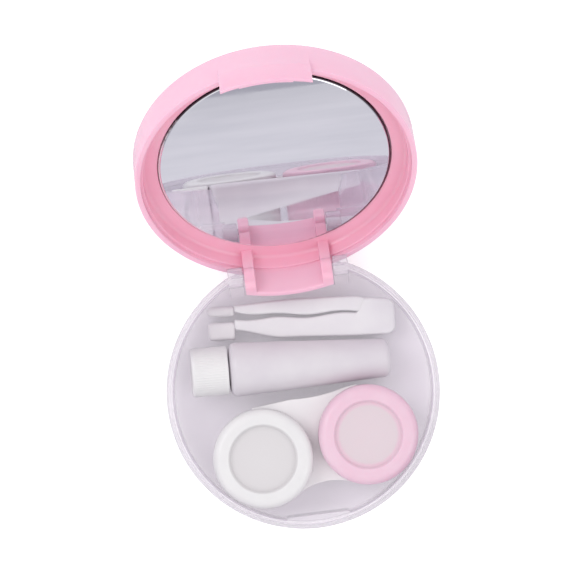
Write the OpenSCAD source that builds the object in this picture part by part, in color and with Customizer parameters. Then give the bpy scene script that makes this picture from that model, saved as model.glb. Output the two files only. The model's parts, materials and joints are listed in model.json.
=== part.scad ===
// Round contact lens travel case: a clear tray with a hinged mirror lid, holding
// a twin lens holder, a solution bottle and a pair of soft-tipped tweezers.
// Millimetres. Origin at the centre of the tray's underside on the table, +Z up,
// the latch at the front (-Y) and the hinge at the back (+Y). The lid is drawn open.

/* [View] */
// Which sub-part to draw

/* [Tray] */
// Outer radius of the tray wall
tray_r = 37; // [36.8:0.05:37.1]
// Height of the tray's outer wall above the table
tray_h = 17; // [16.9:0.05:17]
// Thickness of the tray wall
tray_wall = 1.6; // [1.2:0.1:1.7]
// Thickness of the tray floor
tray_floor = 1.8; // [1.4:0.1:1.9]
// Height of the locating lip above the wall
lip_h = 1.1; // [0.6:0.1:1.1]
// Half width of the notch at the hinge
notch_half = 15.5; // [15.3:0.1:16]
// Width of the stiffening block behind the catch
block_w = 17.4; // [12:0.2:20]

/* [Hinge] */
// Hinge axis, distance behind the centre
pin_y = 32.9; // [32.8:0.05:33]
// Hinge axis, height above the table
pin_z = 13.9; // [13.8:0.05:13.9]
// Diameter of the hinge pins
pin_d = 2; // [1.6:0.1:2.2]
// Radial running clearance of the pins
pin_gap = 0.05; // [0.03:0.01:0.08]
// Angle the lid is drawn open, from closed
lid_angle = 134; // [0:2:134]
// Half width of the lid's hinge lug
lug_half = 12; // [11:0.5:12]
// Width of each rib on the lug
rib_w = 3; // [2.6:0.2:3.4]
// How far the lug reaches below the lid's rim
lug_len = 7.8; // [7:0.1:8.4]

/* [Lid] */
// Outer radius of the lid
lid_r = 37.6; // [37.4:0.05:37.6]
// Depth of the lid from rim to top
lid_depth = 10.5; // [10.3:0.1:11.5]
// Gap between the lid's rim and the tray when closed
lid_gap = 0.1; // [0.1:0.02:0.2]
// Radius of the lid's top edge
lid_round = 1.8; // [1:0.1:2.4]
// Radius of the panel recess in the lid's top
panel_r = 35; // [34.5:0.1:35.3]
// Width of the latch tab
tab_w = 24; // [16:1:26]
// How far the latch tab reaches below the rim
tab_len = 5.2; // [4.4:0.1:6]
// Diameter of the mirror
mirror_d = 62; // [56:0.5:62]
// Thickness of the mirror glass
mirror_t = 1.3; // [1:0.1:1.6]

/* [Lens holder] */
// Distance between the two wells
well_pitch = 29.3; // [29:0.1:29.6]
// Outer radius of the screw caps
cap_r = 13.6; // [13:0.1:13.6]
// Height of a screw cap
cap_h = 7.45; // [6.5:0.05:7.6]
// Radius of the recess in a cap's top
cap_recess_r = 8.8; // [7:0.1:9.5]
// Inner radius of a lens well
well_r = 10.4; // [9.5:0.1:10.8]

/* [Bottle] */
// Outer radius of the bottle at its shoulder
bottle_r = 7.4; // [7:0.05:7.4]
// Outer radius of the bottle at its base
bottle_base_r = 5.3; // [4.8:0.05:5.4]
// Length of the bottle's body without its neck
bottle_len = 44; // [40:0.5:44]
// Length of the bottle's cap
bottle_cap_len = 10; // [9:0.1:10]
// Outer radius of the bottle's cap
bottle_cap_r = 6.65; // [6.2:0.05:6.7]

/* [Tweezers] */
// Length of the tweezers
tweezer_len = 51.3; // [51:0.1:51.4]
// Width of the blades, measured upwards as they lie
blade_w = 5.6; // [4.6:0.1:6]
// Length of the soft tip sleeves
sleeve_len = 7.4; // [6.6:0.1:7.8]

/* [Hidden] */

$fn = 96;
fit = 0.02;                    // gap that keeps touching parts separate
thin_fit = 0.01;               // the same, round the resin and charms
rest_z = tray_floor + fit;     // what the contents rest on
rim_z = tray_h + lid_gap;      // the lid's rim, closed
top_z = rim_z + lid_depth;     // the lid's top edge, closed
catch_w = 14;                  // width of the tray's ridge and the lid's hook

clear_grey = [0.87, 0.84, 0.88, 0.45];
lid_pink = [0.97, 0.72, 0.82];
mirror_silver = [0.86, 0.87, 0.9];
pad_white = [0.93, 0.93, 0.9];
resin_pink = [0.95, 0.7, 0.82, 0.7];
gold = [0.92, 0.78, 0.43];
case_white = [0.93, 0.92, 0.94, 0.75];
cap_pink = [0.95, 0.8, 0.88];
bottle_white = [0.9, 0.89, 0.92, 0.7];
plug_white = [0.96, 0.96, 0.96];
sleeve_white = [0.93, 0.91, 0.93, 0.7];
soft_white = [0.95, 0.95, 0.97];

// ---- shared shapes -------------------------------------------------------
// Cutting and clipping shapes reach freely past the part they trim.

// A turned blank whose upper outer edge is round, from the axis outwards
module round_top(radius, height, edge) {
    square([radius - edge, height]);
    square([radius, height - edge]);
    translate([radius - edge, height - edge]) circle(r = edge, $fn = 48);
}

// A ring between two radii
module ring(r_out, r_in, height) {
    difference() {
        cylinder(r = r_out, h = height, $fn = 128);
        translate([0, 0, -1]) cylinder(r = r_in, h = height + 2, $fn = 128);
    }
}

// The child and its mirror image across x = 0
module both_sides() {
    children();
    mirror([1, 0, 0]) children();
}

// A slab from x onwards, whose outline is drawn as [y, z]
module slab(x, width) {
    translate([x, 0, 0]) rotate([90, 0, 90]) linear_extrude(width) children();
}

// A rod on the hinge axis, from x onwards
module hinge_rod(x, diameter, length) {
    translate([x, pin_y, pin_z]) rotate([0, 90, 0]) cylinder(d = diameter, h = length, $fn = 48);
}

// ---- tray ----------------------------------------------------------------

tray_round = 1.6;                 // outer edge of the underside
floor_round = 1;                  // inner corner between floor and wall
tray_in = tray_r - tray_wall;     // inner radius of the wall
lip_in = tray_r - 2.1;
lip_out = tray_r - 1.5;
lip_root = tray_r - 1.2;
root_z = tray_floor - 0.3;        // parts on the floor are sunk into it
ear_r = 2.7;

module tray_section() {
    difference() {
        union() {
            square([tray_r - tray_round, tray_h]);
            translate([0, tray_round]) square([tray_r, tray_h - tray_round]);
            translate([tray_r - tray_round, tray_round]) circle(r = tray_round, $fn = 48);
        }
        translate([0, tray_floor]) square([tray_in - floor_round, 40]);
        translate([0, tray_floor + floor_round]) square([tray_in, 40]);
        translate([tray_in - floor_round, tray_floor + floor_round])
            circle(r = floor_round, $fn = 32);
    }
    // inner bead and locating lip
    polygon([
        [lip_in, tray_h - 1.5],
        [lip_root, tray_h - 1.5],
        [lip_root, tray_h + lip_h - 0.35],
        [lip_out, tray_h + lip_h],
        [lip_in, tray_h + lip_h]
    ]);
}

// The +X ear at the notch, with the pin that the lid's lug turns on
module hinge_ear() {
    slab(lug_half + 0.3, 4.1) {
        translate([pin_y, pin_z]) circle(r = ear_r, $fn = 64);
        translate([pin_y - ear_r, root_z]) square([ear_r, pin_z - root_z]);
        translate([pin_y - 5.2, root_z]) square([3, 3.3]);
    }
    hinge_rod(lug_half - 2.2, pin_d, 2.7);
}

module base_tray() color(clear_grey) {
    difference() {
        rotate_extrude($fn = 128) tray_section();
        // hinge notch, wider through the lip
        translate([-notch_half, 20, tray_floor + 0.4]) cube([2 * notch_half, 30, 40]);
        translate([-notch_half - 1.2, 20, tray_h]) cube([2 * notch_half + 2.4, 30, 10]);
    }
    // stiffening block
    translate([-block_w / 2, -tray_r + 0.9, root_z])
        cube([block_w, 2.6, tray_h - tray_floor - 1]);
    // catch ridge
    intersection() {
        translate([0, 0, rim_z - tab_len + 0.75]) ring(tray_r + 0.25, tray_r - 0.6, 0.6);
        translate([-catch_w / 2, -50, 0]) cube([catch_w, 30, 40]);
    }
    both_sides() hinge_ear();
}

// ---- lid, drawn in its closed position -----------------------------------

plate_z = top_z - 3.9;            // underside of the plate over the mirror
seat_z = plate_z - 1.1;           // underside of the seat ring round the mirror
recess_z = top_z - 2.5;           // floor of the panel recess
resin_z = top_z - 0.65;           // surface of the resin
lid_in = lid_r - 2.2;             // inner radius of the lid's wall
seat_round = 1;                   // corner between the wall and the seat ring
lug_bottom = rim_z - lug_len;
lug_foot_r = 2;
tab_bottom = rim_z - tab_len;
tab_r = lid_r + 0.95;
mirror_r = mirror_d / 2;
mirror_gap = 0.3;                 // between the glass and the plate, for the pad
mirror_bevel_w = 0.5;
mirror_bevel_h = 0.3;
resin_h = resin_z - recess_z - thin_fit;
resin_r = panel_r - 0.02;
resin_round = 0.3;

// Turn the lid from closed to the angle it is drawn at
module lid_place() {
    translate([0, pin_y, pin_z]) rotate([-lid_angle, 0, 0]) translate([0, -pin_y, -pin_z])
        children();
}

module lid_section() {
    difference() {
        translate([0, rim_z]) round_top(lid_r, lid_depth, lid_round);
        // rebate for the tray's lip
        translate([0, rim_z - 1]) square([tray_r - 0.85, 2.4]);
        // cavity up to the seat ring
        translate([0, rim_z - 1]) square([lid_in, seat_z - rim_z]);
        translate([0, rim_z - 1]) square([lid_in - seat_round, seat_z - rim_z + 1]);
        translate([lid_in - seat_round, seat_z - seat_round]) circle(r = seat_round, $fn = 32);
        // mirror recess
        translate([0, rim_z]) square([mirror_r + 0.3, plate_z - rim_z]);
        // panel recess
        translate([0, recess_z]) square([panel_r, 5]);
    }
}

// The +X rib of the lug, bored for the tray's pin
module lug_rib() difference() {
    intersection() {
        slab(lug_half - rib_w, rib_w) {
            translate([pin_y, pin_z]) circle(r = 2.3, $fn = 64);
            translate([pin_y - 1.4, lug_bottom + lug_foot_r])
                square([6, seat_z + 0.5 - lug_bottom - lug_foot_r]);
            translate([pin_y + 0.6, lug_bottom]) square([4, 4]);
            translate([pin_y + 0.6, lug_bottom + lug_foot_r]) circle(r = lug_foot_r, $fn = 48);
        }
        cylinder(r = lid_r - 0.3, h = 60, $fn = 128);
    }
    hinge_rod(lug_half - 2.5, pin_d + 2 * pin_gap, 5);
}

module lug_plate() intersection() {
    translate([0, 0, lug_bottom]) ring(lid_r, lid_r - 1.6, lug_len + 1.5);
    translate([-lug_half, 0, 0]) cube([2 * lug_half, 60, 60]);
}

module latch_tab() intersection() {
    union() {
        translate([0, 0, tab_bottom]) ring(tab_r, tray_r + 0.6, tab_len + 3.4);
        translate([0, 0, rim_z + 0.2]) ring(tab_r, lid_r - 0.4, 3.2);
    }
    translate([-tab_w / 2, -60, 0]) cube([tab_w, 30, 60]);
}

module latch_hook() intersection() {
    translate([0, 0, tab_bottom]) ring(lid_r + 0.5, tray_r + 0.33, 0.55);
    translate([-catch_w / 2, -60, 0]) cube([catch_w, 30, 60]);
}

module lid_shell() color(lid_pink) lid_place() {
    rotate_extrude($fn = 128) lid_section();
    lug_plate();
    both_sides() lug_rib();
    latch_tab();
    latch_hook();
}

// Glass disc with a bevel round its visible face
module lid_mirror() color(mirror_silver) lid_place() {
    translate([0, 0, plate_z - mirror_gap - mirror_t]) rotate_extrude($fn = 128) {
        translate([0, mirror_bevel_h]) square([mirror_r, mirror_t - mirror_bevel_h]);
        square([mirror_r - mirror_bevel_w, mirror_t]);
        polygon([
            [mirror_r - mirror_bevel_w, 0],
            [mirror_r, mirror_bevel_h],
            [mirror_r - mirror_bevel_w, mirror_bevel_h]
        ]);
    }
}

module mirror_pad() color(pad_white) lid_place()
    translate([0, 0, plate_z - mirror_gap + fit])
        cylinder(d = mirror_d - 8, h = mirror_gap - 2 * fit, $fn = 96);

module resin_inlay() color(resin_pink) lid_place()
    translate([0, 0, recess_z + thin_fit]) rotate_extrude($fn = 128) {
        square([resin_r - resin_round, resin_h]);
        square([resin_r, resin_h - resin_round]);
        translate([resin_r - resin_round, resin_h - resin_round])
            circle(r = resin_round, $fn = 24);
    }

// ---- charms on the panel: x to the right, y to the hinge -----------------

charm_t = 1.1;
moon_bite_at = [-3.1, 1.2];       // circle that hollows the crescent
moon_bite_r = 4.8;
planet_r = 5.1;
planet_dome_r = 10.7;
planet_top = 1.3;
planet_ring_out = [10, 2.6];      // half length, half width
planet_ring_in = [9.1, 1.7];
star_tips = 5;
oval_steps = 56;

module charm_place(at, turn = 0) {
    lid_place() translate([at.x, at.y, resin_z + thin_fit]) rotate([0, 0, turn]) children();
}

// Corners of a star; inner corners lie at the radius times the ratio
function star_points(radius, ratio) = [
    for (i = [0:2 * star_tips - 1])
        let (angle = 180 * i / star_tips, reach = i % 2 == 0 ? radius : radius * ratio)
        [reach * cos(angle), reach * sin(angle)]
];

function oval(half) = [
    for (i = [0:oval_steps - 1])
        let (angle = 360 * i / oval_steps)
        [half.x * cos(angle), half.y * sin(angle)]
];

// Crescent with a small face on its inner side
module charm_moon() color(gold) charm_place([-24.3, 12.8]) difference() {
    union() {
        linear_extrude(charm_t) {
            difference() {
                circle(r = 6, $fn = 96);
                translate(moon_bite_at) circle(r = moon_bite_r, $fn = 96);
            }
            // nose
            translate([1.35, -0.35]) circle(r = 0.62, $fn = 32);
        }
        // raised edge
        translate([0, 0, charm_t - 0.05]) ring(5.7, 5.3, 0.2);
    }
    // the raised edge ends with the crescent
    translate([moon_bite_at.x, moon_bite_at.y, charm_t])
        cylinder(r = moon_bite_r, h = 1, $fn = 96);
    // eye and mouth
    translate([2.9, 1.4, charm_t - 0.3]) cylinder(r = 0.42, h = 1, $fn = 32);
    translate([0.9, -2.55, charm_t - 0.3]) rotate([0, 0, -24]) cube([1.9, 0.3, 1]);
}

// Flat star with a pointed, faceted top
module charm_star() color(gold) charm_place([8.8, 24.2], turn = -2) {
    outline = star_points(4.1, 0.42);
    linear_extrude(0.5) polygon(outline);
    translate([0, 0, 0.49]) linear_extrude(0.85, scale = 0.04) polygon(outline);
}

module charm_open_star() color(gold) charm_place([-0.4, 0.3], turn = 33)
    linear_extrude(charm_t) difference() {
        polygon(star_points(4.9, 0.46));
        polygon(star_points(3.05, 0.46));
    }

module planet_ring() difference() {
    polygon(oval(planet_ring_out));
    polygon(oval(planet_ring_in));
}

module charm_planet() color(gold) charm_place([24, -12.2]) {
    // shallow dome for the planet
    intersection() {
        translate([0, 0, planet_top - planet_dome_r]) sphere(r = planet_dome_r, $fn = 128);
        cylinder(r = planet_r, h = 3, $fn = 96);
    }
    rotate([0, 0, 64.6]) {
        // ring, thinned on one side inside the planet
        difference() {
            linear_extrude(0.9) planet_ring();
            translate([0, 0, 0.45]) linear_extrude(2) intersection() {
                circle(r = 4.9, $fn = 64);
                translate([-6, -6]) square([12, 6]);
            }
        }
        // raised band that crosses the planet on the other side
        linear_extrude(1.62) intersection() {
            planet_ring();
            translate([-6.4, 0.3]) square([12.8, 5]);
        }
    }
}

module burst_ray(length, width) {
    linear_extrude(0.8) {
        translate([0, -width / 2]) square([length, width]);
        translate([length, 0]) circle(r = width * 0.62, $fn = 24);
    }
}

module charm_starburst() color(gold) charm_place([-11.7, -22.6], turn = 59) {
    for (i = [0:3]) {
        rotate([0, 0, 90 * i]) burst_ray(4.3, 0.8);
        rotate([0, 0, 45 + 90 * i]) burst_ray(2.7, 0.62);
    }
    cylinder(r = 1.1, h = charm_t, $fn = 32);
}

// ---- lens holder ---------------------------------------------------------

case_at = [1.55, -15.25, 0];
case_turn = 5.9;
well_out = 12;                    // outer radius of a well
well_h = 11.9;
well_round = 1;                   // outer edge of a well's underside
bowl_round = 4;
bowl_z = rest_z + 2.2;            // floor of the bowl
flange_z = rest_z + 7.4;          // top of the flange
flange_t = 1.3;
flange_r = 13.2;
cap_z = flange_z + 0.13;
cap_bore_h = rest_z + well_h - cap_z + 0.12;
recess_round = 0.6;               // eased edges of the cap's recess
web_arc_r = 44;                   // arc that trims the web's back edge

module case_place() {
    translate(case_at) rotate([0, 0, case_turn]) children();
}

module well_section() {
    difference() {
        union() {
            translate([0, rest_z]) {
                square([well_out - well_round, 2]);
                translate([0, well_round]) square([well_out, well_h - well_round]);
                translate([well_out - well_round, well_round]) circle(r = well_round, $fn = 32);
            }
            translate([0, flange_z - flange_t]) square([flange_r, flange_t]);
            // screw thread, drawn as two beads
            for (z = [1.5, 3.2]) translate([well_out, flange_z + z]) circle(r = 0.32, $fn = 24);
        }
        // bowl of the well
        translate([0, bowl_z]) square([well_r - bowl_round, 20]);
        translate([0, bowl_z + bowl_round]) square([well_r, 20]);
        translate([well_r - bowl_round, bowl_z + bowl_round]) circle(r = bowl_round, $fn = 64);
    }
}

module web_outline() difference() {
    translate([-well_pitch / 2, -12.4]) square([well_pitch, 26.3]);
    // curved front and back edges
    translate([0, -27.2]) circle(r = 17.2, $fn = 96);
    translate([4, 13.2 + web_arc_r]) circle(r = web_arc_r, $fn = 128);
    // openings of the two wells
    for (side = [-1, 1]) translate([side * well_pitch / 2, 0]) circle(r = 11.2, $fn = 96);
}

module lens_case_body() color(case_white) case_place() {
    for (side = [-1, 1])
        translate([side * well_pitch / 2, 0, 0]) rotate_extrude($fn = 96) well_section();
    translate([0, 0, flange_z - flange_t]) linear_extrude(flange_t) web_outline();
    // rib under the web, between the wells
    translate([-3.4, -0.8, rest_z + 1]) cube([6.8, 1.6, 5.4]);
}

module cap_section() {
    difference() {
        round_top(cap_r, cap_h, 2.3);
        // threaded bore
        translate([0, -1]) square([12.5, cap_bore_h + 1]);
        // dished recess in the top, with an eased edge
        translate([0, cap_h - 1.1]) square([cap_recess_r - recess_round, 3]);
        difference() {
            translate([0, cap_h - recess_round]) square([cap_recess_r + recess_round, 3]);
            translate([cap_recess_r + recess_round, cap_h - recess_round])
                circle(r = recess_round, $fn = 24);
        }
        translate([0, cap_h - recess_round]) square([cap_recess_r - 0.2, 3]);
        translate([cap_recess_r - recess_round, cap_h - 0.5]) circle(r = recess_round, $fn = 24);
    }
}

// A screw cap on the left (-1) or right (1) well
module well_cap(side) case_place() translate([side * well_pitch / 2, 0, 0])
    translate([0, 0, cap_z]) rotate_extrude($fn = 128) cap_section();

module left_well_cap() color(soft_white) well_cap(-1);

module right_well_cap() color(cap_pink) well_cap(1);

// ---- bottle, turned about its own axis -----------------------------------

bottle_x = -29.6;
bottle_y = 8.7;
bottle_turn = -2.6;
shoulder = bottle_cap_len + 0.4;  // where the bottle's body starts
shoulder_round = 2.2;
base_round = 2;
taper = (bottle_r - bottle_base_r) / (bottle_len - shoulder_round - base_round);
taper_angle = atan(taper);        // the bottle lies on its tapered side
bottle_z = rest_z + (bottle_r + taper * (shoulder + shoulder_round)) / cos(taper_angle);
neck_start = 3;
neck_r = 4.1;
neck_bore_r = 3;
plug_flange_t = 0.7;
cap_end_round = 0.8;              // closed end of the bottle's cap
cap_mouth_round = 0.3;
arc_steps = 8;

// The bottle's own Z is its axis, from the cap's end to its base
module bottle_place() {
    translate([bottle_x, bottle_y, bottle_z])
        rotate([0, 0, bottle_turn]) rotate([0, 90 + taper_angle, 0]) children();
}

function arc_run(x, y, radius, start, end) = [
    for (i = [0:arc_steps])
        let (angle = start + (end - start) * i / arc_steps)
        [x + radius * cos(angle), y + radius * sin(angle)]
];

// Half section of the tapered body, drawn in from its outside by an inset
module bottle_side(inset) polygon(concat(
    [[0, shoulder + inset]],
    arc_run(bottle_r - shoulder_round, shoulder + shoulder_round, shoulder_round - inset, -90, 0),
    arc_run(bottle_base_r - base_round, shoulder + bottle_len - base_round,
        base_round - inset, 0, 90),
    [[0, shoulder + bottle_len - inset]]));

module bottle_body() color(bottle_white) bottle_place() rotate_extrude($fn = 96) difference() {
    union() {
        bottle_side(0);
        // neck with its thread beads
        translate([0, neck_start]) square([neck_r, shoulder - 2]);
        for (y = [4.6, 6.4]) translate([neck_r, y]) circle(r = 0.3, $fn = 24);
    }
    translate([0, neck_start - 1]) square([neck_bore_r, shoulder + 4]);
    bottle_side(0.9);
}

module bottle_plug() color(plug_white) bottle_place() rotate_extrude($fn = 64) difference() {
    union() {
        // flange on the neck, stem in its bore, nozzle
        translate([0, neck_start - fit - plug_flange_t]) square([3.8, plug_flange_t]);
        translate([0, 2.9]) square([neck_bore_r - 0.03, 5.6]);
        translate([0, 1.4]) square([1.5, 1.6]);
    }
    // fine hole, then the hollow of the stem
    translate([0, 1]) square([0.35, 3]);
    translate([0, 3.4]) square([2.2, 8]);
}

module bottle_cap() color(soft_white) bottle_place() rotate_extrude($fn = 96) difference() {
    union() {
        translate([0, cap_end_round])
            square([bottle_cap_r, bottle_cap_len - cap_end_round - cap_mouth_round]);
        square([bottle_cap_r - cap_end_round, bottle_cap_len]);
        translate([bottle_cap_r - cap_end_round, cap_end_round])
            circle(r = cap_end_round, $fn = 32);
        translate([bottle_cap_r - cap_end_round, bottle_cap_len - 0.8])
            square([cap_end_round - cap_mouth_round, 0.8]);
        translate([bottle_cap_r - cap_mouth_round, bottle_cap_len - cap_mouth_round])
            circle(r = cap_mouth_round, $fn = 24);
    }
    translate([0, 1.2]) square([4.5, bottle_cap_len]);
}

// ---- tweezers, lying on their side: x from the tips to the root ----------
// The lower arm is the one towards -y, the upper arm the one towards +y.

tweezer_x = -23.6;
tweezer_y = 20.95;
tweezer_turn = -4.1;
joint_x = tweezer_len - 8.3;      // round end of the upper arm
joint_y = 3.55;
joint_r = 1.9;
root_round = 2.4;
root_x = tweezer_len - root_round;
root_low = -2.45;                 // centres of the root's round corners
root_high = 2.3;
tongue_x = 1.6;                   // tongues that the sleeves close round
tongue_inset = 0.7;               // from each side of the blade
tongue_gap = 0.03;
lower_tongue = [-1.45, 0.25];     // from y, to y
upper_tongue = [3.3, 4.3];

module tweezer_place() {
    translate([tweezer_x, tweezer_y, rest_z]) rotate([0, 0, tweezer_turn]) children();
}

function ease(t) = t * t * (3 - 2 * t);
function within(t) = max(0, min(1, t));

// y of the arms' outer edges, along x
function upper_edge(x) = 5.2 + sin(90 * ease(within((x - 7) / 22)))
    - (x > 36 ? 0.9 * pow((x - 36) / 10, 2) : 0);
function lower_edge(x) =
    -(1.6 + 2.75 * ease(within((x - 6) / 15)) + 0.5 * ease(within((x - 21) / 22)));

// The slit between the arms: its middle, half width and two sides
function slit_mid(x) = 1.6 + 0.38 * sin(20 * (x - 32)) + 1.1 * pow(within((16 - x) / 8.6), 1.5);
function slit_half(x) = 0.17 + 0.012 * (joint_x - x) + 0.4 * pow(within((20 - x) / 13), 1.6);
function slit_low(x) = slit_mid(x) - slit_half(x);
function slit_high(x) = slit_mid(x) + slit_half(x);

// Evenly spaced x stations
function edge_run(from, to, steps = 26) = [for (i = [0:steps]) from + (to - from) * i / steps];

module tongue(span) {
    translate([tongue_x, span[0], tongue_inset])
        cube([sleeve_len - 1.1, span[1] - span[0], blade_w - 2 * tongue_inset]);
}

// Block that joins the arms, with round corners at its end
module root_outline() {
    polygon([
        [joint_x - 1, root_low - root_round],
        [root_x, root_low - root_round],
        [root_x, root_high + root_round],
        [joint_x + 2.5, 5.2],
        [joint_x - 1, 5.4]
    ]);
    translate([root_x - 1, root_low]) square([root_round + 1, root_high - root_low]);
    for (y = [root_low, root_high]) translate([root_x, y]) circle(r = root_round, $fn = 48);
}

module tweezer_lower_arm() color(soft_white) tweezer_place() {
    difference() {
        linear_extrude(blade_w) difference() {
            union() {
                polygon(concat(
                    [for (x = edge_run(sleeve_len, joint_x + 2)) [x, lower_edge(x)]],
                    [for (x = edge_run(joint_x + 2, sleeve_len)) [x, slit_low(x)]]));
                root_outline();
            }
            // socket of the upper arm
            translate([joint_x, joint_y]) circle(r = joint_r + 0.1, $fn = 64);
            polygon(concat(
                [for (x = edge_run(joint_x - 4, joint_x, 8)) [x, slit_low(x)]],
                [[joint_x, 9], [joint_x - 4, 9]]));
        }
        // the full blade stops just clear of the sleeve
        translate([sleeve_len - 2, -9, -1]) cube([2 + fit, 18, blade_w + 2]);
    }
    tongue(lower_tongue);
}

module tweezer_upper_arm() color(soft_white) tweezer_place() {
    linear_extrude(blade_w) {
        polygon(concat(
            [for (x = edge_run(sleeve_len + fit, joint_x)) [x, slit_high(x)]],
            [for (x = edge_run(joint_x, sleeve_len + fit))
                [x, min(upper_edge(x), joint_y + joint_r + 0.4 * (joint_x - x))]]));
        translate([joint_x, joint_y]) circle(r = joint_r, $fn = 64);
    }
    tongue(upper_tongue);
}

// A rectangle with round corners, from the origin
module round_rect(w, h, r) {
    translate([r, 0]) square([w - 2 * r, h]);
    translate([0, r]) square([w, h - 2 * r]);
    for (x = [r, w - r], y = [r, h - r]) translate([x, y]) circle(r = r, $fn = 32);
}

// A soft sleeve over a y span, closed round the tongue of one arm
module sleeve(span, tongue_span) color(sleeve_white) tweezer_place() difference() {
    translate([0, span[0], 0]) linear_extrude(blade_w + 0.2)
        round_rect(sleeve_len, span[1] - span[0], 1.2);
    translate([tongue_x, tongue_span[0], tongue_inset] - tongue_gap * [1, 1, 1])
        cube([
            sleeve_len,
            tongue_span[1] - tongue_span[0] + 2 * tongue_gap,
            blade_w - 2 * (tongue_inset - tongue_gap)
        ]);
}

module tweezer_lower_tip() sleeve([-4.2, 0.7], lower_tongue);

module tweezer_upper_tip() sleeve([2.3, 5], upper_tongue);

base_tray();
lid_shell();
lid_mirror();
mirror_pad();
resin_inlay();
charm_moon();
charm_star();
charm_open_star();
charm_planet();
charm_starburst();
lens_case_body();
left_well_cap();
right_well_cap();
bottle_body();
bottle_plug();
bottle_cap();
tweezer_lower_arm();
tweezer_upper_arm();
tweezer_lower_tip();
tweezer_upper_tip();
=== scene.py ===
"""A contact lens kit: a round compact, lens holder, bottle and tweezers.

The compact's clear tray is centred on the Z axis. Its hinge pin lies along X on the +Y side,
and the pink lid, with a mirror inside and gold charms on a resin panel outside, is swung open
about it. Lengths are in millimetres and become metres in piece(); the studio is in metres.
Each part is modelled in its own local space (the lid as if shut) and placed by a matrix.
"""

import json
import math
import random

import bmesh
import bpy
from mathutils import Matrix, Vector


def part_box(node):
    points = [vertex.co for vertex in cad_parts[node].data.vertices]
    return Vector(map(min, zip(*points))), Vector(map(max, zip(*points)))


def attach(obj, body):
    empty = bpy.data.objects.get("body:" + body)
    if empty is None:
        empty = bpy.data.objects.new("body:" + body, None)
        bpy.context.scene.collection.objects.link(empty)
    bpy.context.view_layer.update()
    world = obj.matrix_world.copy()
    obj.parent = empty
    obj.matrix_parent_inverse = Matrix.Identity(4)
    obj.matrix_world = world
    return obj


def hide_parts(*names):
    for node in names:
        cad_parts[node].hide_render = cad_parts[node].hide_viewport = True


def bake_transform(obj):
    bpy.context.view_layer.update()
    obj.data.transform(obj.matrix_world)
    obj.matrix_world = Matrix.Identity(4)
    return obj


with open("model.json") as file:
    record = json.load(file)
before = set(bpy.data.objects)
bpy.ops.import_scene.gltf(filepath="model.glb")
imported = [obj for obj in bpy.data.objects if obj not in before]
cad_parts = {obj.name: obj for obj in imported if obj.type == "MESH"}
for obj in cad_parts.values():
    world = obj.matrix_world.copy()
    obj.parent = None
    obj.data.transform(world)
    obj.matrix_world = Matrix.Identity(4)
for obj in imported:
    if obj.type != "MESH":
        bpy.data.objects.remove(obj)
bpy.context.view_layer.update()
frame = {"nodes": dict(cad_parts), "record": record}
joints = {j["name"]: j for j in frame["record"]["behaviour"]["joints"]}
scene = bpy.context.scene
random.seed(11)  # fixes the shared generator; the glitter draws from its own

# ---- places, read from the frame ---------------------------------------------


def mm(metres):
    return Vector(metres) * 1000.0


def box_mm(node):
    low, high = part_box(node)
    return mm(low), mm(high)


def turned(place, degrees):
    return Matrix.Translation(place) @ Matrix.Rotation(math.radians(degrees), 4, "Z")


pin = mm(joints["lid_hinge"]["pos_m"])
lid_open = math.radians(joints["lid_hinge"]["range_deg"][1])
LID = Matrix.Translation(pin) @ Matrix.Rotation(-lid_open, 4, "X") @ Matrix.Translation(-pin)
LID_AXIS = (LID.to_3x3() @ Vector((0, 0, 1))).normalized()
LID_MID = LID @ Vector((0, 0, 20))

left_low, left_high = box_mm("left_well_cap")
right_low, right_high = box_mm("right_well_cap")
left_cap = (left_low + left_high) / 2
right_cap = (right_low + right_high) / 2
WELL_CAP_R = (left_high.x - left_low.x) / 2
WELL_CAP_Z = left_low.z
WELL_CAP_H = left_high.z - left_low.z
case_mid = (left_cap + right_cap) / 2
case_angle = math.atan2(right_cap.y - left_cap.y, right_cap.x - left_cap.x)
WELL_PITCH = (right_cap - left_cap).length
CASE = Matrix.Translation((case_mid.x, case_mid.y, 0)) @ Matrix.Rotation(case_angle, 4, "Z")

# the bottle's local +Z runs from the closed end of its cap towards its base
cap_turn = joints["bottle_cap_turn"]
bottle_axis = -Vector(cap_turn["axis"]).normalized()
BOTTLE = (
    Matrix.Translation(mm(cap_turn["pos_m"]))
    @ bottle_axis.to_track_quat("Z", "Y").to_matrix().to_4x4()
)

# the tweezers' local +X runs from the tips to the root
SQUEEZE_X = 43.0
TWEEZERS = turned(mm(joints["tweezers_squeeze"]["pos_m"]), -4.1) @ Matrix.Translation(
    -Vector((SQUEEZE_X, 3.55, 0.0))
)

# ---- driving sizes -----------------------------------------------------------

TRAY_R = 37.0
TRAY_FLOOR = 1.8
LID_R = 37.6
RECESS_R = 35.0  # the dish in the lid's outside that holds the resin
RECESS_Z = 25.1
RESIN_TOP = 26.95
MIRROR_R = 31.0
MIRROR_Z = 22.1
HINGE_PLATE_Z = 9.3  # lower edge of the lid's hinge plate

CASE_FOOT = box_mm("lens_case_body")[0].z
FLANGE_TOP = CASE_FOOT + 7.4
FLANGE_LOW = FLANGE_TOP - 1.3
WELL_TOP = CASE_FOOT + 11.9
WELL_R = 12.0

# charm: x, y, turn in degrees, radius kept clear of glitter
CHARMS = {
    "moon": (-24.3, 12.8, 0, 6.4),
    "star": (8.8, 24.2, -2, 4.4),
    "open_star": (-0.4, 0.3, 33, 3.4),
    "planet": (24, -12.2, 0, 5.6),
    "starburst": (-11.7, -22.6, 59, 2.0),
}

# ---- mesh helpers ------------------------------------------------------------


def add_object(name, data):
    o = bpy.data.objects.new(name, data)
    scene.collection.objects.link(o)
    return o


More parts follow.
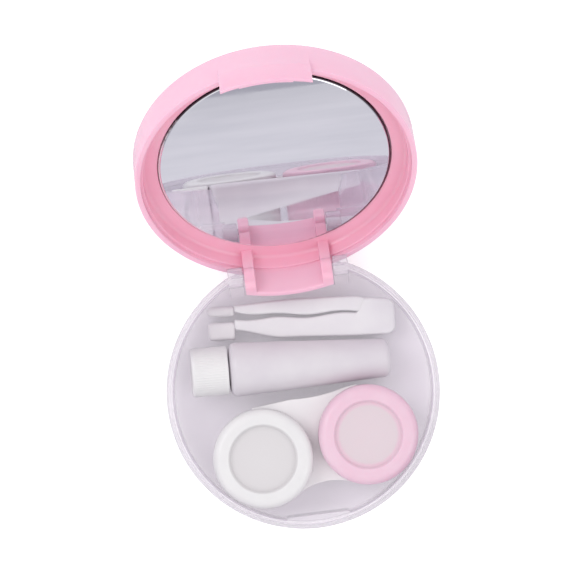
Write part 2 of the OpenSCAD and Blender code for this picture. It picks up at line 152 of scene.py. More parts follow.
def face_outwards(mesh, weld=False):
    bm = bmesh.new()
    bm.from_mesh(mesh)
    if weld:
        bmesh.ops.remove_doubles(bm, verts=bm.verts, dist=1e-5)
        bmesh.ops.dissolve_degenerate(bm, edges=bm.edges, dist=1e-6)
    bmesh.ops.recalc_face_normals(bm, faces=bm.faces)
    bm.to_mesh(mesh)
    bm.free()


def mesh_obj(name, verts, faces):
    mesh = bpy.data.meshes.new(name)
    mesh.from_pydata([tuple(v) for v in verts], [], faces)
    face_outwards(mesh, weld=True)
    return add_object(name, mesh)


def lathe(profile, n=192, flute=None):
    """Turn a loop of (r, z) points. A loop that meets the axis is closed by it."""
    verts, rings = [], []
    for r, z in profile:
        if r < 1e-6:
            rings.append([len(verts)])
            verts.append((0, 0, z))
            continue
        ring = []
        for i in range(n):
            a = 2 * math.pi * i / n
            cut_r = r - (flute(a, r, z) if flute else 0)
            ring.append(len(verts))
            verts.append((cut_r * math.cos(a), cut_r * math.sin(a), z))
        rings.append(ring)
    faces = []
    for k, a in enumerate(rings):
        b = rings[(k + 1) % len(rings)]
        if len(a) == 1 and len(b) == 1:
            continue
        for i in range(n):
            j = (i + 1) % n
            if len(a) == 1:
                faces.append((a[0], b[i], b[j]))
            elif len(b) == 1:
                faces.append((a[i], b[0], a[j]))
            else:
                faces.append((a[i], b[i], b[j], a[j]))
    return mesh_obj("lathe", verts, faces)


def flutes(count, depth, wall, low, high, fade_high, fade_low=None):
    """Grooves for lathe(), cut where r >= wall and low <= z <= high."""

    def cut(a, r, z):
        if r < wall or z > high or z < low:
            return 0.0
        d = depth * (0.5 - 0.5 * math.cos(count * a)) * min(1.0, (high - z) / fade_high)
        return d * min(1.0, (z - low) / fade_low) if fade_low else d

    return cut


def arc(cx, cy, r, degrees):
    turns = [math.radians(a) for a in degrees]
    return [(cx + r * math.cos(a), cy + r * math.sin(a)) for a in turns]


def fillet(points, n=5):
    """Points are (x, y) or (x, y, radius); the corners with a radius become arcs."""
    out = []
    for i, p in enumerate(points):
        r = p[2] if len(p) > 2 else 0
        if not r:
            out.append((p[0], p[1]))
            continue
        corner = Vector(p[:2])
        a = Vector(points[i - 1][:2]) - corner
        b = Vector(points[(i + 1) % len(points)][:2]) - corner
        len_a, len_b = a.length, b.length
        a.normalize()
        b.normalize()
        half = math.acos(max(-1, min(1, a.dot(b)))) / 2
        d = min(r / math.tan(half), len_a * 0.98, len_b * 0.98)
        r = d * math.tan(half)
        centre = corner + (a + b).normalized() * (r / math.sin(half))
        start, end = corner + a * d - centre, corner + b * d - centre
        t0 = math.atan2(start.y, start.x)
        dt = math.atan2(end.y, end.x) - t0
        while dt > math.pi:
            dt -= 2 * math.pi
        while dt < -math.pi:
            dt += 2 * math.pi
        for k in range(n + 1):
            t = t0 + dt * k / n
            out.append((centre.x + r * math.cos(t), centre.y + r * math.sin(t)))
    return out


def inset(poly, d):
    """Move a closed outline inwards by d."""
    if d <= 1e-6:
        return poly
    following = poly[1:] + poly[:1]
    area = sum(p[0] * q[1] - q[0] * p[1] for p, q in zip(poly, following))
    s = 1 if area > 0 else -1
    out = []
    for i, p in enumerate(poly):
        before, here, after = Vector(poly[i - 1]), Vector(p), Vector(following[i])
        u, v = here - before, after - here
        if u.length < 1e-9:
            u = v
        if v.length < 1e-9:
            v = u
        u.normalize()
        v.normalize()
        n1 = Vector((-u.y, u.x)) * s
        n2 = Vector((-v.y, v.x)) * s
        mid = n1 + n2
        if mid.length < 1e-6:
            mid = n1
        mid.normalize()
        k = d / max(0.45, mid.dot(n1))
        out.append((here.x + mid.x * k, here.y + mid.y * k))
    return out


def loft(sections, closed=False):
    """Join sections of equal length; cap both ends, or join the last to the first."""
    verts = [tuple(p) for section in sections for p in section]
    n, count = len(sections[0]), len(sections)
    faces = []
    for k in range(count if closed else count - 1):
        k2 = (k + 1) % count
        for i in range(n):
            j = (i + 1) % n
            faces.append((k * n + i, k * n + j, k2 * n + j, k2 * n + i))
    if not closed:
        faces.append(tuple(range(n))[::-1])
        faces.append(tuple(range((count - 1) * n, count * n)))
    return mesh_obj("loft", verts, faces)


def edge_steps(ease):
    """(depth, inset) pairs that round an edge, from the flat end to the full outline."""
    turns = [math.pi / 2 * k / 3 for k in range(4)]
    return [(ease * (1 - math.cos(t)), ease * (1 - math.sin(t))) for t in turns]


def prism(outline, a0, a1, ease=0.25, place=lambda u, v, w: (u, v, w)):
    """Extrude an outline from a0 to a1 with rounded edges."""
    levels = [(a0 + depth, d) for depth, d in edge_steps(ease)]
    sections = [[place(u, v, w) for u, v in inset(outline, d)] for w, d in levels]
    for w, d in reversed(levels):
        sections.append([place(u, v, a1 - (w - a0)) for u, v in inset(outline, d)])
    return loft(sections)


def arc_block(profile, half_x, side, n, ease):
    """A block that follows a round wall: a loop of (r, z) swept over |x| < half_x.

    side is 1 for the wall at +Y and -1 for the wall at -Y.
    """
    start = [(-half_x + depth, d) for depth, d in edge_steps(ease)]
    middle = [(-half_x + ease + (2 * half_x - 2 * ease) * i / n, 0) for i in range(1, n)]
    sections = []
    for x, d in start + middle + [(-x, d) for x, d in reversed(start)]:
        sections.append(
            [(x, side * math.sqrt(max(0.0, r * r - x * x)), z) for r, z in inset(profile, d)]
        )
    return loft(sections)


def box(x0, x1, y0, y1, z0, z1):
    verts = [(x, y, z) for z in (z0, z1) for x, y in ((x0, y0), (x1, y0), (x1, y1), (x0, y1))]
    faces = [
        (0, 3, 2, 1), (4, 5, 6, 7), (0, 1, 5, 4), (1, 2, 6, 5), (2, 3, 7, 6), (3, 0, 4, 7),
    ]
    return mesh_obj("box", verts, faces)


def move(o, matrix):
    o.data.transform(matrix)
    return o


def ball(centre, r, squash=1.0, n=24, rings=12):
    turns = [math.pi * k / rings for k in range(rings + 1)]
    o = lathe([(r * math.sin(t), centre[2] - r * squash * math.cos(t)) for t in turns], n)
    return move(o, Matrix.Translation((centre[0], centre[1], 0)))


def along_pin(profile, side):
    """Turn a profile about the hinge pin; its z becomes x on the given side."""
    place = Matrix.Translation((0, pin.y, pin.z)) @ Matrix.Rotation(side * math.pi / 2, 4, "Y")
    return move(lathe(profile, 48), place)


def volume(o):
    bm = bmesh.new()
    bm.from_mesh(o.data)
    v = abs(bm.calc_volume(signed=True))
    bm.free()
    return v


def bake(o):
    bpy.context.view_layer.update()
    evaluated = o.evaluated_get(bpy.context.evaluated_depsgraph_get())
    mesh = bpy.data.meshes.new_from_object(evaluated)
    o.modifiers.clear()
    old = o.data
    o.data = mesh
    bpy.data.meshes.remove(old)
    return o


def boolean(body, tool, operation="UNION"):
    """Apply the tool to the body and remove the tool."""
    union = operation == "UNION"
    expected = max(volume(body), volume(tool)) if union else 0.6 * volume(body)
    modifier = body.modifiers.new("boolean", "BOOLEAN")
    modifier.operation = operation
    modifier.solver = "EXACT"
    modifier.object = tool
    bake(body)
    if volume(body) < 0.99 * expected:
        raise RuntimeError("a boolean lost its body")
    bpy.data.objects.remove(tool)


def cut(body, tool):
    boolean(body, tool, "DIFFERENCE")


def fuse(parts, voxel, smooth):
    """Melt closed shells into one cast body."""
    mesh = bpy.data.meshes.new("fuse")
    bm = bmesh.new()
    for p in parts:
        bm.from_mesh(p.data)
        bpy.data.objects.remove(p)
    bm.to_mesh(mesh)
    bm.free()
    o = add_object("fuse", mesh)
    remesh = o.modifiers.new("remesh", "REMESH")
    remesh.mode = "VOXEL"
    remesh.voxel_size = voxel
    soften = o.modifiers.new("smooth", "SMOOTH")
    soften.factor = 0.5
    soften.iterations = smooth
    return bake(o)


def to_metres(o, place):
    o.data.transform(Matrix.Scale(0.001, 4) @ place)


def dress(o, name, material, sharp):
    """Name a mesh, shade it smooth below the sharp angle (degrees), give it a material."""
    mesh = o.data
    o.name = name
    mesh.name = name
    for p in mesh.polygons:
        p.use_smooth = True
    mesh.set_sharp_from_angle(angle=math.radians(sharp))
    mesh.materials.clear()
    mesh.materials.append(material)


def piece(o, name, body, mat, node, place=Matrix.Identity(4), sharp=30):
    to_metres(o, place)
    face_outwards(o.data)
    dress(o, name, mat.material, sharp)
    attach(o, body)
    if node:
        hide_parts(node)


# ---- shader helpers ----------------------------------------------------------


def srgb(code, gain=1.0):
    """Linear RGBA from a hex code, scaled by gain and by an overall 0.87."""
    gain *= 0.87
    out = []
    for k in (0, 2, 4):
        c = int(code[k : k + 2], 16) / 255
        out.append(min(1.0, gain * (c / 12.92 if c < 0.04045 else ((c + 0.055) / 1.055) ** 2.4)))
    return tuple(out) + (1.0,)


class Nodes:
    """The node tree of a material or world. Values may be constants or sockets."""

    def __init__(self, owner):
        owner.use_nodes = True
        self.tree = owner.node_tree

    def feed(self, socket, value):
        if isinstance(value, bpy.types.NodeSocket):
            self.tree.links.new(value, socket)
        else:
            socket.default_value = value

    def add(self, kind, inputs=None, **props):
        n = self.tree.nodes.new("ShaderNode" + kind)
        for key, value in props.items():
            setattr(n, key, value)
        for key, value in (inputs or {}).items():
            self.feed(n.inputs[key], value)
        return n

    def set(self, node_name, **values):
        """Feed a node's inputs, with underscores for the spaces in their names."""
        for key, value in values.items():
            self.feed(self.tree.nodes[node_name].inputs[key.replace("_", " ")], value)

    def calc(self, operation, *values):
        return self.add("Math", dict(enumerate(values)), operation=operation).outputs[0]

    def vector(self, operation, *values):
        n = self.add("VectorMath", dict(enumerate(values)), operation=operation)
        number = operation in ("DISTANCE", "DOT_PRODUCT", "LENGTH")
        return n.outputs["Value" if number else 0]

    def ramp(self, fac, stops):
        """Stops are (position, grey or RGBA)."""
        n = self.add("ValToRGB", {"Fac": fac})
        elements = n.color_ramp.elements
        while len(elements) < len(stops):
            elements.new(0.5)
        for k, (position, col) in enumerate(stops):
            elements[k].position = position
            elements[k].color = col if isinstance(col, tuple) else (col, col, col, 1.0)
        return n.outputs["Color"]

    def map(self, value, start, end, to=(0.0, 1.0)):
        inputs = {"Value": value, "From Min": start, "From Max": end}
        inputs.update({"To Min": to[0], "To Max": to[1]})
        return self.add("MapRange", inputs).outputs["Result"]

    def mix(self, fac, a, b):
        return self.add("Mix", {0: fac, 6: a, 7: b}, data_type="RGBA").outputs[2]

    def glossy_ray(self):
        return self.add("LightPath").outputs["Is Glossy Ray"]


class Mat(Nodes):
    """A Principled material whose patterns are measured in millimetres."""

    def __init__(self, name):
        self.material = bpy.data.materials.new(name)
        super().__init__(self.material)
        self.co = self.add("TexCoord").outputs["Object"]

    def shade(self, **values):
        self.set("Principled BSDF", **values)

    def colour(self):
        shader = self.tree.nodes["Principled BSDF"]
        return shader.inputs["Base Color"].links[0].from_socket

    def scaled(self, scale):
        """object coordinates in millimetres times scale"""
        n = self.add("VectorMath", {0: self.co, "Scale": 1000.0 * scale}, operation="SCALE")
        return n.outputs[0]

    def noise_at(self, vector, detail, rough):
        inputs = {"Scale": 1.0, "Detail": detail, "Roughness": rough, "Vector": vector}
        return self.add("TexNoise", inputs).outputs["Fac"]

    def noise(self, scale, detail=3.0, rough=0.55):
        return self.noise_at(self.scaled(scale), detail, rough)

    def distance(self, point):
        metres = self.vector("DISTANCE", self.co, tuple(c / 1000 for c in point))
        return self.calc("MULTIPLY", metres, 1000.0)

    def radial(self, point, axis):
        """distance from a line, in millimetres"""
        offset = self.vector("SUBTRACT", self.co, tuple(c / 1000 for c in point))
        across = self.vector("CROSS_PRODUCT", offset, tuple(axis))
        return self.calc("MULTIPLY", self.vector("LENGTH", across), 1000.0)

    def bump(self, height, strength, depth):
        inputs = {"Strength": strength, "Distance": depth / 1000, "Height": height}
        self.shade(Normal=self.add("Bump", inputs).outputs["Normal"])


# ---- materials ---------------------------------------------------------------
# rough: roughness range; grain, flow: noise frequency per millimetre of the fine surface
# and of the slow colour drift; gain: brightness of the hex colours


def moulded(name, light, dark, gain, rough, grain, flow, bump, sss=0.0, sss_radius=None):
    """Injection-moulded plastic: slow flow marks in the colour, a fine satin grain."""
    m = Mat(name)
    slow = m.noise(scale=flow, detail=4.0, rough=0.6)
    m.shade(Base_Color=m.ramp(slow, [(0.32, srgb(dark, gain)), (0.68, srgb(light, gain))]))
    fine = m.noise(scale=grain, detail=5.0, rough=0.65)
    m.shade(Roughness=m.map(fine, start=0.3, end=0.7, to=rough))
    m.bump(fine, strength=bump, depth=0.02)
    if sss:
        m.shade(Subsurface_Weight=sss, Subsurface_Scale=0.002, Subsurface_Radius=sss_radius)
    return m


def film(name, tint, deep, alpha, rough, grain, bump, gain=1.0, edge_on_shade=None):
    """Clear or frosted plastic: a tinted film that thickens where it is seen edge-on, with an
    optional grey painted shade there.
    """
    m = Mat(name)
    slow = m.noise(scale=0.07, detail=4.0, rough=0.6)
    base = m.ramp(slow, [(0.3, srgb(deep, gain)), (0.7, srgb(tint, gain))])
    fine = m.noise(scale=grain, detail=4.0, rough=0.6)
    m.shade(Roughness=m.map(fine, start=0.3, end=0.7, to=rough))
    if bump:
        m.bump(fine, strength=bump, depth=0.02)
    facing = m.add("LayerWeight", {"Blend": 0.35}).outputs["Facing"]
    # painted shade: seen edge-on, the colour turns to the given grey, standing in for the darkening
    # that refraction gives thick clear walls
    if edge_on_shade:
        base = m.mix(m.map(facing, start=0.35, end=0.9), base, srgb(edge_on_shade))
    thickness = m.map(facing, start=0.0, end=1.0, to=alpha)
    drift = 0.06  # how far the slow noise raises the alpha
    m.shade(Base_Color=base, Alpha=m.calc("MULTIPLY_ADD", slow, drift, thickness))
    return m


def paint_lid_inside_shade(m):
    """Painted shade: the lid's inside is painted a deeper pink than its skirt, for the shade inside
    it.
    """
    r = m.radial(LID_MID, LID_AXIS)
    # painted shade: the deeper pinks below are painted on for the shade inside the lid
    inner = m.ramp(
        m.noise(scale=0.05, detail=4.0), [(0.3, srgb("FCB0C9")), (0.7, srgb("FDBAD0"))]
    )
    # weight of the painted shade (the deeper pink), from the mirror's edge out to the skirt
    shade_weight = m.ramp(m.map(r, start=31.0, end=38.0), [(0.0, 1), (0.62, 0.85), (0.9, 0.0)])
    # the hinge plate and the catch stand lower than the rim and get less of the painted shade,
    # keeping more of the lighter pink
    height = m.vector("DOT_PRODUCT", m.co, tuple(LID_AXIS * 1000))
    middle = LID_AXIS.dot(LID_MID)
    lower = m.map(height, start=middle - 3.4, end=middle - 1.4, to=(0.6, 1.0))
    m.shade(Base_Color=m.mix(m.calc("MULTIPLY", shade_weight, lower), m.colour(), inner))


def paint_dish_shade(m, centre, inner, shade):
    """Colour the dished middle of a cap with painted shade: a greyer middle and a soft darker edge.
    """
    r = m.radial(centre, (0, 0, 1))
    middle = m.ramp(m.map(r, start=0.0, end=10.0), [(0.0, 0.9), (0.8, 1), (0.93, 0.0)])
    edge = m.ramp(m.map(r, start=7.6, end=9.6), [(0.0, 0), (0.45, 1), (1.0, 0)])
    # painted shade: the greyer middle stands for the dark well seen through the thin cap, the darker
    # edge for shade in its rounded edge
    dished = m.mix(middle, m.colour(), srgb(inner))
    m.shade(Base_Color=m.mix(edge, dished, srgb(shade)))


def along_mirror(m):
    """Position along the mirror: -MIRROR_R opposite the hinge, MIRROR_R next to it."""
    axis = LID.to_3x3() @ Vector((0, 1, 0))
    height = m.vector("DOT_PRODUCT", m.co, tuple(axis * 1000))
    return m.calc("SUBTRACT", height, axis.dot(MIRROR_MID))


MIRROR_MID = LID @ Vector((0, 0, MIRROR_Z))
# slope of the reflected view: place from the far edge (0) to the hinge (1), degrees
MIRROR_TILT = (
    (0.0, 1.0), (0.5, 4.2), (0.57, 5.6), (0.61, 9.4), (0.66, 7.8), (0.7, 6.3),
    (0.76, 3.8), (0.81, 1.4), (0.85, 0.9), (0.88, 2.0), (1.0, 5.0),
)
TILT_SCALE = 16  # degrees that white stands for in the tilt ramp


def make_mirror():
    """Silvered glass with a ground edge, painted light on one side and dark on the other."""
    m = Mat("mirror_glass")
    d = m.distance(MIRROR_MID)
    smear = m.noise(scale=0.12, detail=4.0, rough=0.6)
    stretched = m.vector("MULTIPLY", m.co, (30.0, 260.0, 260.0))  # streaks lie along X
    streak = m.noise_at(stretched, detail=3.0, rough=0.5)
    face = m.ramp(streak, [(0.3, (0.76, 0.755, 0.80, 1.0)), (0.7, (0.84, 0.83, 0.87, 1.0))])

    # painted light and shade: the ground edge is painted dark at the far side and light towards the
    # hinge and -X
    chip = m.noise(scale=0.9, detail=3.0, rough=0.7)
    xyz = m.add("SeparateXYZ", {0: m.co}).outputs
    x_share, chip_share = 0.8, 0.03
    side = m.calc("MULTIPLY_ADD", xyz["X"], x_share, xyz["Y"])
    wobble = m.calc("MULTIPLY_ADD", chip, chip_share, side)
    mid_y = MIRROR_MID.y / 1000
    edge_shade_mix = m.map(wobble, start=mid_y - 0.004, end=mid_y + 0.01)
    lit_edge, shaded_edge = (0.9, 0.9, 0.92, 1), (0.05, 0.03, 0.045, 1)
    edge = m.mix(edge_shade_mix, lit_edge, shaded_edge)

    # the edge band starts further in, by up to this many millimetres, near the hinge
    widening = 0.35
    near_hinge = m.map(along_mirror(m), start=-MIRROR_R, end=MIRROR_R)
    wide = m.calc("MULTIPLY_ADD", near_hinge, widening, d)
    ring = m.map(wide, start=30.72, end=30.84)
    m.shade(
        Base_Color=m.mix(ring, face, edge),
        Roughness=m.map(smear, start=0.2, end=0.8, to=(0.015, 0.05)),
        Metallic=m.map(d, start=30.68, end=30.8, to=(1.0, 0.35)),
    )

    # the normal is tilted about X, to slide the reflected view along the mirror
    place = m.map(along_mirror(m), start=-MIRROR_R, end=MIRROR_R)
    tilt = m.ramp(place, [(x, a / TILT_SCALE) for x, a in MIRROR_TILT])
    rotate = m.add(
        "VectorRotate",
        {
            "Axis": (1, 0, 0),
            "Vector": m.add("NewGeometry").outputs["Normal"],
            "Angle": m.calc("MULTIPLY", tilt, math.radians(TILT_SCALE)),
        },
        rotation_type="AXIS_ANGLE",
    )
    m.shade(Normal=rotate.outputs[0])
    return m


def make_resin():
    """Pink resin, warmer towards its rim (partly painted shade, partly the colour of the denser
    glitter there), with metal dust in it.
    """
    m = Mat("pink_glitter_resin")
    d = m.distance(LID @ Vector((0, 0, 26.9)))
    slow = m.noise(scale=0.08, detail=4.0, rough=0.6)
    base = m.ramp(slow, [(0.3, srgb("EDA9CC", gain=0.96)), (0.7, srgb("F1B2D3", gain=0.96))])
    # deeper, warmer pink towards the rim: partly painted shade, partly the colour of the denser
    # glitter there
    rim_warmth_and_shade = m.ramp(m.map(d, start=27.0, end=34.5), [(0.0, 0), (1.0, 0.6)])
    base = m.mix(rim_warmth_and_shade, base, srgb("F3A0BC", gain=0.96))
    # dust: a spot at the heart of some of the cells
    cells = m.add("TexVoronoi", {"Vector": m.scaled(scale=1.9), "Scale": 1.0}).outputs
    spot = m.map(cells["Distance"], start=0.14, end=0.26, to=(1.0, 0.0))
    pick = m.add("SeparateColor", {0: cells["Color"]}).outputs[0]
    some = m.map(pick, start=0.55, end=0.75, to=(0.0, 0.75))
    copper = (0.85, 0.45, 0.22, 1)
    gloss = m.noise(scale=0.5, detail=3.0)
    m.shade(
        Base_Color=m.mix(m.calc("MULTIPLY", spot, some), base, copper),
        Roughness=m.map(gloss, start=0.3, end=0.7, to=(0.08, 0.16)),
        Subsurface_Weight=0.2,
        Subsurface_Scale=0.001,
        Subsurface_Radius=(1.0, 0.4, 0.6),
        Coat_Weight=0.6,
        Coat_Roughness=0.05,
    )
    m.bump(m.noise(scale=0.18, detail=3.0), strength=0.25, depth=0.05)
    return m


def make_gold(name, light, dark, rough):
    """Gold with painted light: faces along the lid's axis are painted bright, flanks and hollows
    painted a shaded brown.
    """
    m = Mat(name)
    n = m.noise(scale=0.9, detail=5.0, rough=0.65)
    normal = m.add("TexCoord").outputs["Normal"]
    # painted light and shade: the colour is bright where the surface faces along the lid's axis and
    # brown on the flanks
    top = m.map(m.vector("DOT_PRODUCT", normal, tuple(LID_AXIS)), start=0.35, end=0.85)
    shaded_brown = (0.42, 0.23, 0.06, 1)
    m.shade(
        Base_Color=m.mix(top, shaded_brown, m.ramp(n, [(0.3, dark), (0.62, light)])),
        Roughness=m.map(n, start=0.3, end=0.7, to=rough),
        Metallic=1.0,
    )
    m.bump(m.noise(scale=1.3, detail=5.0), strength=0.6, depth=0.12)
    return m


mat_lid = moulded(
    "pink_lid_plastic", "FCCCE2", "FAC4DC", gain=0.96, rough=(0.16, 0.24),
    grain=0.5, flow=0.05, bump=0.02, sss=0.2, sss_radius=(1.0, 0.35, 0.5),
)
paint_lid_inside_shade(mat_lid)

CAP_SURFACE = dict(rough=(0.3, 0.42), grain=1.6, flow=0.09, bump=0.05)
WHITE_CAP = dict(
    light="FAF8FA", dark="F4F2F5", gain=0.87, sss=0.15, sss_radius=(1, 1, 1), **CAP_SURFACE
)
mat_bottle_cap = moulded("white_cap_plastic", **WHITE_CAP)
mat_white_cap = moulded("white_well_cap_plastic", **WHITE_CAP)
mat_pink_cap = moulded(
    "pink_cap_plastic", "F9D9EA", "F6CEE2", gain=0.9, sss=0.2, sss_radius=(1.0, 0.5, 0.6),
    **CAP_SURFACE,
)
paint_dish_shade(mat_white_cap, left_cap, inner="DCD8DB", shade="D6D2D5")
paint_dish_shade(mat_pink_cap, right_cap, inner="E0D1D8", shade="E8C6D6")
mat_tweezers = moulded(
    "white_tweezer_plastic", "F9F6FA", "F4F0F6", gain=0.9, rough=(0.3, 0.45),
    grain=1.2, flow=0.12, bump=0.05, sss=0.3, sss_radius=(1, 0.97, 1),
)
mat_plug = moulded(
    "white_plug_plastic", "F6F6F8", "ECECF0", gain=0.96, rough=(0.35, 0.5),
    grain=1.5, flow=0.2, bump=0.1,
)
mat_pad = moulded(
    "adhesive_foam", "EDEBE4", "DCD8CE", gain=0.96, rough=(0.75, 0.9),
    grain=3.0, flow=0.5, bump=0.5,
)

# the tray's grey edge colour below is painted shade for its walls seen edge-on
mat_tray = film(
    "clear_tray_plastic", "F1E7F4", "EADFEE", alpha=(0.23, 0.62), rough=(0.08, 0.14),
    grain=0.12, bump=0.0, edge_on_shade="B1ACB6",
)
mat_holder = film(
    "holder_plastic", "FFFBFD", "FAF7FA", alpha=(0.86, 0.96), rough=(0.3, 0.42),
    grain=1.2, bump=0.05, gain=1.05,
)
mat_bottle = film(
    "frosted_bottle_plastic", "F7F2F8", "F2EBF4", alpha=(0.84, 0.93), rough=(0.3, 0.46),
    grain=1.0, bump=0.06, gain=0.9,
)
mat_tip = film(
    "soft_tip_silicone", "FCF8FC", "F9F3F9", alpha=(0.78, 0.92), rough=(0.3, 0.42),
    grain=1.2, bump=0.05,
)
mat_mirror = make_mirror()
mat_resin = make_resin()
mat_gold = make_gold(
    "gold_charm_metal", light=(1.0, 0.82, 0.42, 1.0), dark=(0.78, 0.50, 0.14, 1.0),
    rough=(0.14, 0.28),
)
mat_flake = make_gold(
    "gold_glitter", light=(1.0, 0.66, 0.36, 1.0), dark=(0.9, 0.48, 0.22, 1.0),
    rough=(0.2, 0.35),
)

# ---- tray --------------------------------------------------------------------

# r, z, corner radius
TRAY_PROFILE = [
    (0, 0), (20, 0), (34.6, 0), (TRAY_R, 0, 1.6), (TRAY_R, 17.0, 0.3),
    (35.8, 17.0, 0.12), (35.8, 18.1, 0.35), (34.9, 18.1, 0.2), (34.9, 15.5, 0.2),
    (35.4, 15.1, 0.2), (35.4, TRAY_FLOOR, 1.0),
    (33.8, TRAY_FLOOR), (26, TRAY_FLOOR), (14, TRAY_FLOOR), (0, TRAY_FLOOR),
]
EAR_R = 2.7
# y, z: foot, round head about the pin, shoulder
EAR = [
    (27.7, 1.5), (32.9, 1.5), *arc(pin.y, pin.z, EAR_R, range(-90, 181, 9)),
    (30.2, 4.8), (27.7, 4.8),
]
PIN_PROFILE = [(0, 9.8), (0.8, 9.8), (1.0, 10.0), (1.0, 12.6), (0, 12.6)]
# x, y: block just inside the -Y wall
INNER_BLOCK = [(-8.7, -36.1), (8.7, -36.1), (8.7, -33.5, 0.6), (-8.7, -33.5, 0.6)]
# r, z: ridge on the outside of the -Y wall
TRAY_RIDGE = [(36.6, 12.65), (37.2, 12.72), (37.25, 12.95), (37.2, 13.18), (36.6, 13.25)]
CATCH_HALF = 7.0  # half width of the ridge, and of the lid's lip


def build_tray():
    tray = lathe(fillet(TRAY_PROFILE))
    # the gap in the wall for the hinge, wider at the rim
    cut(tray, box(-15.5, 15.5, 20, 50, 2.2, 42))
    cut(tray, box(-16.7, 16.7, 20, 50, 17.0, 42))
    for side in (1, -1):
        boolean(tray, prism(EAR, 12.3, 16.4, 0.3, lambda u, v, w: (side * w, u, v)))
        boolean(tray, along_pin(PIN_PROFILE, side))
    boolean(tray, prism(fillet(INNER_BLOCK, 4), 1.5, 16.0))
    boolean(tray, arc_block(TRAY_RIDGE, CATCH_HALF, side=-1, n=24, ease=0.1))
    piece(tray, "tray_shell", "tray", mat_tray, "base_tray")


# ---- lid ---------------------------------------------------------------------

# r, z, corner radius
LID_PROFILE = [
    (0, RECESS_Z), (RECESS_R, RECESS_Z, 0.2), (RECESS_R, 27.6, 0.35), (LID_R, 27.6, 1.8),
    (LID_R, 17.1, 0.25), (36.15, 17.1, 0.12), (36.15, 18.5), (35.4, 18.5, 0.2),
    (35.4, 22.6, 1.0), (31.3, 22.6, 0.25), (31.3, 23.7), (0, 23.7),
]
HINGE_PLATE = [(36.0, HINGE_PLATE_Z, 0.5), (LID_R, HINGE_PLATE_Z, 0.6), (LID_R, 18.6), (36.0, 18.6)]
# y, z: rib from the hinge plate in to the pin
HINGE_RIB = [
    (31.5, 23.1), (31.5, 15.72),
    *arc(32.9, 13.9, 2.3, range(140, 216, 8)),
    *arc(33.5, 11.3, 2.0, range(190, 271, 10)),
    (36.0, HINGE_PLATE_Z), (36.0, 23.1),
]
RIB_MAX_R = 37.3  # the ribs stay inside this radius
PIN_HOLE = [(0, 9.5), (1.05, 9.5), (1.05, 14.5), (0, 14.5)]
# r, z, corner radius: tab outside the -Y skirt, then the lip inside its foot
TAB = [
    (37.63, 11.9, 0.3), (38.55, 11.9, 0.35), (38.55, 18.0, 2.0), (37.3, 22.6),
    (36.8, 22.6), (36.8, 17.3), (37.63, 17.24),
]
TAB_LIP = [
    (37.33, 12.05), (37.45, 11.95), (38.0, 11.95), (38.0, 12.45), (37.5, 12.45), (37.33, 12.3),
]
MIRROR_PROFILE = [
    (0, MIRROR_Z), (30.5, MIRROR_Z), (MIRROR_R, 22.4), (MIRROR_R, 23.4, 0.08), (0, 23.4),
]
RESIN_R = RECESS_R - 0.02
RESIN_PROFILE = [
    (0, RECESS_Z + 0.01), (RESIN_R, RECESS_Z + 0.01), (RESIN_R, RESIN_TOP, 0.3),
    (20.0, RESIN_TOP), (0, RESIN_TOP),
]


def build_lid():
    lid = lathe(fillet(LID_PROFILE, 6), 224)
    boolean(lid, arc_block(fillet(HINGE_PLATE, 4), 12.0, side=1, n=36, ease=0.4))
    for side in (1, -1):
        rib = prism(
            HINGE_RIB, 9.0, 12.0, 0.35,
            lambda u, v, w: (side * w, min(u, math.sqrt(RIB_MAX_R**2 - w * w)), v),
        )
        boolean(lid, rib)
        cut(lid, along_pin(PIN_HOLE, side))
    boolean(lid, arc_block(fillet(TAB, 4), 11.97, side=-1, n=37, ease=0.15))
    boolean(lid, arc_block(TAB_LIP, CATCH_HALF, side=-1, n=23, ease=0.08))
    piece(lid, "lid_pink", "lid", mat_lid, "lid_shell", LID)


def build_mirror():
    mirror = lathe(fillet(MIRROR_PROFILE, 3), 224)
    piece(mirror, "mirror_disc", "lid", mat_mirror, "lid_mirror", LID, sharp=8)


def build_resin():
    resin = lathe(fillet(RESIN_PROFILE), 224)
    piece(resin, "resin_panel", "lid", mat_resin, "resin_inlay", LID)


FLAKE_COUNT = 1500
GLITTER_R = 34.2
FLAKE_HALF = 0.015  # half of a flake's thickness


def build_glitter():
    """Thin six-sided flakes, each a closed solid, lying in the resin's skin."""
    verts, faces = [], []
    rnd = random.Random(5)
    while len(verts) < 12 * FLAKE_COUNT:
        r = GLITTER_R * math.sqrt(rnd.random())
        a = rnd.random() * 2 * math.pi
        x, y = r * math.cos(a), r * math.sin(a)
        # sparser in the middle, richer towards the rim
        if rnd.random() > 0.45 + 0.55 * (r / GLITTER_R) ** 2:
            continue
        if any((x - cx) ** 2 + (y - cy) ** 2 < gap * gap for cx, cy, _, gap in CHARMS.values()):
            continue
        size = rnd.uniform(0.1, 0.24)
        tilt_x = Matrix.Rotation(rnd.uniform(-0.35, 0.35), 3, "X")
        tilt = tilt_x @ Matrix.Rotation(rnd.uniform(-0.35, 0.35), 3, "Y")
        spin = rnd.random() * math.pi
        base = len(verts)
        for h in (-FLAKE_HALF, FLAKE_HALF):
            for k in range(6):
                t = spin + k * math.pi / 3
                p = tilt @ Vector((size * math.cos(t), size * 0.8 * math.sin(t), h))
                verts.append((x + p.x, y + p.y, RESIN_TOP + 0.012 + p.z))
        faces.append(tuple(base + k for k in range(5, -1, -1)))
        faces.append(tuple(base + 6 + k for k in range(6)))
        for k in range(6):
            j = (k + 1) % 6
            faces.append((base + k, base + j, base + 6 + j, base + 6 + k))
    mesh = bpy.data.meshes.new("flakes")
    mesh.from_pydata(verts, [], faces)
    flakes = add_object("flakes", mesh)
    piece(flakes, "glitter_flakes", "lid", mat_flake, None, LID)


# ---- charms ------------------------------------------------------------------


